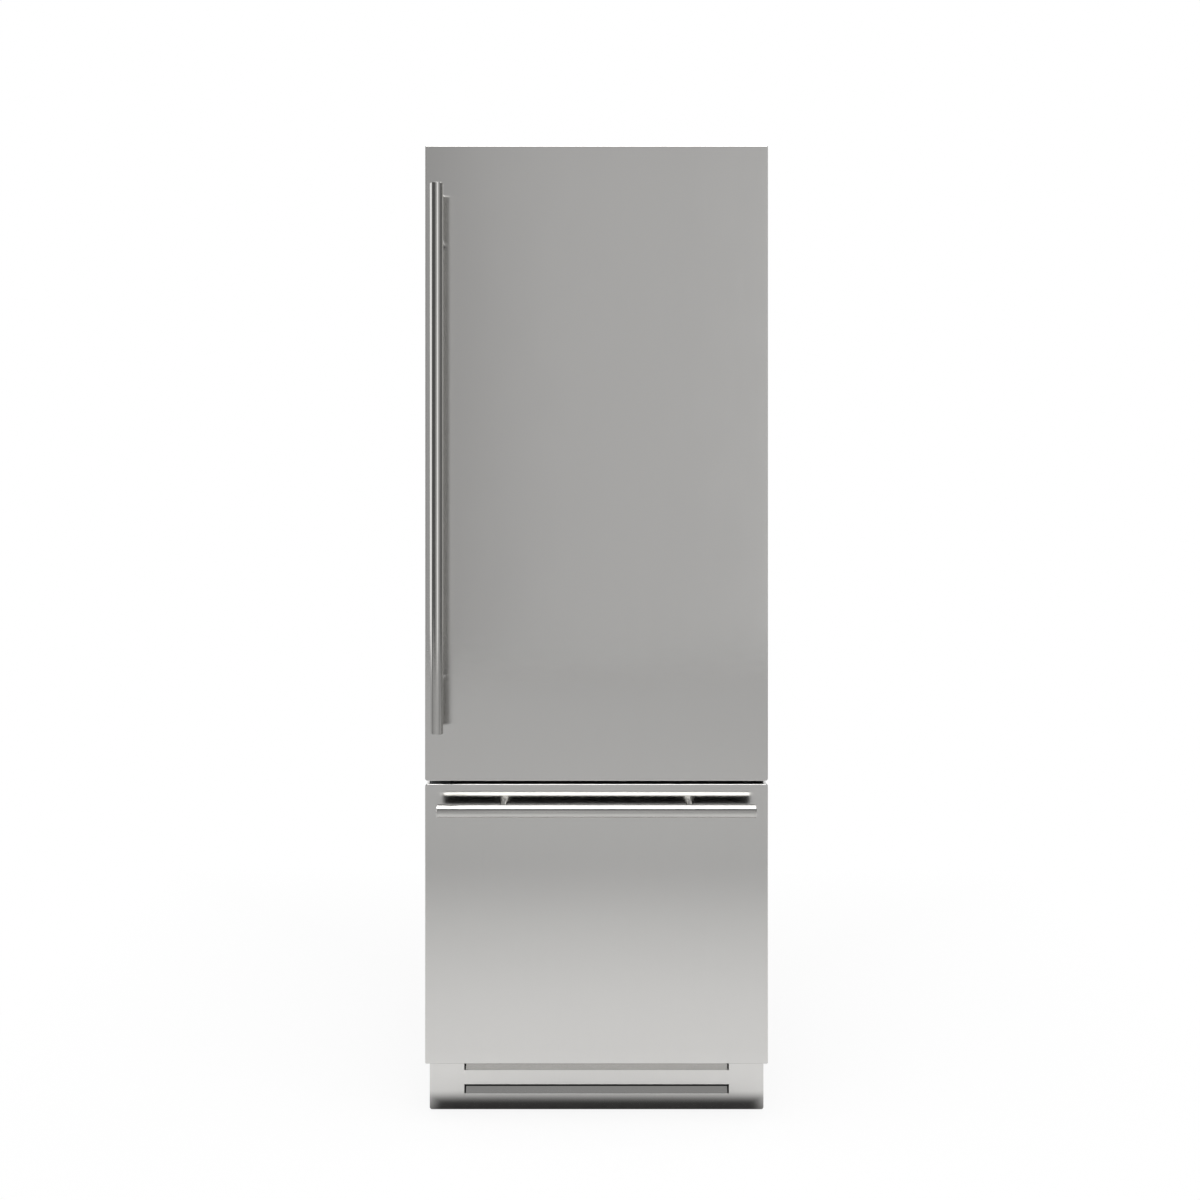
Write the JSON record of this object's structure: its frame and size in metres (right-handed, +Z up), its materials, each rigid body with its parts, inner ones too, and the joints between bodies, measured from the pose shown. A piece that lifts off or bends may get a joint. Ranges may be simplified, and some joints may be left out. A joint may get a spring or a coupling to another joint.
{
  "type": "refrigerator",
  "caption": "Tall stainless steel refrigerator with a hinged door above a freezer drawer, round bar handles and a slotted plinth; shelves, crispers, bins, rails and cooling parts inside.",
  "frame": {"origin": "centre of the bounding box's footprint, on the floor", "axes": "+X to the right as seen from the front, -Y towards the front, +Z up"},
  "size_m": [0.748, 0.784, 2.133],
  "materials": {
    "brushed_stainless": "satin",
    "polished_stainless": "polished",
    "grey_paint": "satin",
    "galvanised_steel": "matte",
    "black_paint": "satin",
    "zinc": "satin",
    "white_liner": "satin",
    "grey_plastic": "satin",
    "foam": "matte",
    "seal_rubber": "matte",
    "shelf_glass": "gloss",
    "aluminium": "satin",
    "clear_plastic": "gloss",
    "lamp_plastic": "satin",
    "black_plastic": "matte",
    "copper": "satin"
  },
  "bodies": {
    "cabinet": {"plinth_panel": "brushed_stainless", "outer_case": "grey_paint", "back_panel": "galvanised_steel", "machine_cover": "galvanised_steel", "base_frame": "galvanised_steel", "anti_tip_bracket": "galvanised_steel", "condenser_fan_frame": "galvanised_steel", "drawer_rails_outer": "galvanised_steel", "front_crossbars": "black_paint", "compressor": "black_paint", "top_hinge": "black_paint", "lower_hinge": "black_paint", "levelling_feet": "zinc", "fridge_liner": "white_liner", "freezer_liner": "white_liner", "fridge_duct_cover": "white_liner", "freezer_duct_cover": "white_liner", "control_housing": "grey_plastic", "cabinet_foam": "foam", "compressor_grommets": "seal_rubber", "glass_shelves": "shelf_glass", "crisper_lid": "shelf_glass", "shelf_trims": "aluminium", "condenser_coil": "aluminium", "evaporators": "aluminium", "lamp_lens": "lamp_plastic", "mains_inlet": "black_plastic", "evaporator_fan_motors": "black_plastic", "control_box": "black_plastic", "drip_tray": "black_plastic", "refrigerant_pipes": "copper"},
    "fridge_door": {"door_skin": "brushed_stainless", "door_hinge_blocks": "black_plastic", "door_foam": "foam", "door_liner": "white_liner", "door_gasket": "seal_rubber", "door_handle_bar": "polished_stainless", "door_handle_posts": "polished_stainless"},
    "freezer_drawer": {"drawer_skin": "brushed_stainless", "drawer_foam": "foam", "drawer_liner": "white_liner", "drawer_gasket": "seal_rubber", "drawer_handle_bar": "polished_stainless", "drawer_handle_posts": "polished_stainless", "drawer_frame": "galvanised_steel", "drawer_bin": "clear_plastic"},
    "middle_rails": {"drawer_rails_middle": "galvanised_steel"},
    "freezer_tray": {"freezer_tray": "clear_plastic"},
    "crisper_left": {"crisper_left": "clear_plastic"},
    "crisper_right": {"crisper_right": "clear_plastic"},
    "condenser_fan": {"condenser_fan_wheel": "black_plastic"},
    "fridge_fan": {"fridge_fan_wheel": "black_plastic"},
    "freezer_fan": {"freezer_fan_wheel": "black_plastic"},
    "power_button": {"button_power": "grey_plastic"},
    "down_button": {"button_down": "grey_plastic"},
    "up_button": {"button_up": "grey_plastic"},
    "bin_1": {"door_bin_1": "clear_plastic"},
    "bin_2": {"door_bin_2": "clear_plastic"},
    "bin_3": {"door_bin_3": "clear_plastic"},
    "bin_4": {"door_bin_4": "clear_plastic"}
  },
  "joints": [
    {"name": "door_hinge", "type": "hinge", "parent": "cabinet", "child": "fridge_door", "pos_m": [0.357, -0.294, 1.44], "axis": [0, 0, 1], "range_deg": [0, 110]},
    {"name": "drawer_slide", "type": "slide", "parent": "cabinet", "child": "freezer_drawer", "axis": [0, -1, 0], "range_m": [0, 0.4]},
    {"name": "middle_rail_slide", "type": "slide", "parent": "cabinet", "child": "middle_rails", "axis": [0, -1, 0], "range_m": [0, 0.2]},
    {"name": "tray_slide", "type": "slide", "parent": "freezer_drawer", "child": "freezer_tray", "axis": [0, 1, 0], "range_m": [0, 0.28]},
    {"name": "crisper_left_slide", "type": "slide", "parent": "cabinet", "child": "crisper_left", "axis": [0, -1, 0], "range_m": [0, 0.095]},
    {"name": "crisper_right_slide", "type": "slide", "parent": "cabinet", "child": "crisper_right", "axis": [0, -1, 0], "range_m": [0, 0.095]},
    {"name": "condenser_fan_spin", "type": "hinge", "parent": "cabinet", "child": "condenser_fan", "pos_m": [-0.023, 0.287, 0.1495], "axis": [1, 0, 0], "continuous": true},
    {"name": "fridge_fan_spin", "type": "hinge", "parent": "cabinet", "child": "fridge_fan", "pos_m": [0, 0.31, 1.95], "axis": [0, 1, 0], "continuous": true},
    {"name": "freezer_fan_spin", "type": "hinge", "parent": "cabinet", "child": "freezer_fan", "pos_m": [0, 0.296, 0.6325], "axis": [0, 1, 0], "continuous": true},
    {"name": "power_button_press", "type": "slide", "parent": "cabinet", "child": "power_button", "axis": [0, 1, 0], "range_m": [0, 0.0012], "stiffness_N_per_m": 600},
    {"name": "down_button_press", "type": "slide", "parent": "cabinet", "child": "down_button", "axis": [0, 1, 0], "range_m": [0, 0.0012], "stiffness_N_per_m": 600},
    {"name": "up_button_press", "type": "slide", "parent": "cabinet", "child": "up_button", "axis": [0, 1, 0], "range_m": [0, 0.0012], "stiffness_N_per_m": 600},
    {"name": "bin_1_lift", "type": "slide", "parent": "fridge_door", "child": "bin_1", "axis": [0, 0, 1], "range_m": [0, 0.025]},
    {"name": "bin_2_lift", "type": "slide", "parent": "fridge_door", "child": "bin_2", "axis": [0, 0, 1], "range_m": [0, 0.025]},
    {"name": "bin_3_lift", "type": "slide", "parent": "fridge_door", "child": "bin_3", "axis": [0, 0, 1], "range_m": [0, 0.025]},
    {"name": "bin_4_lift", "type": "slide", "parent": "fridge_door", "child": "bin_4", "axis": [0, 0, 1], "range_m": [0, 0.025]}
  ],
  "couplings": [
    {"joint": "middle_rail_slide", "follows": "drawer_slide", "ratio": 0.5}
  ]
}
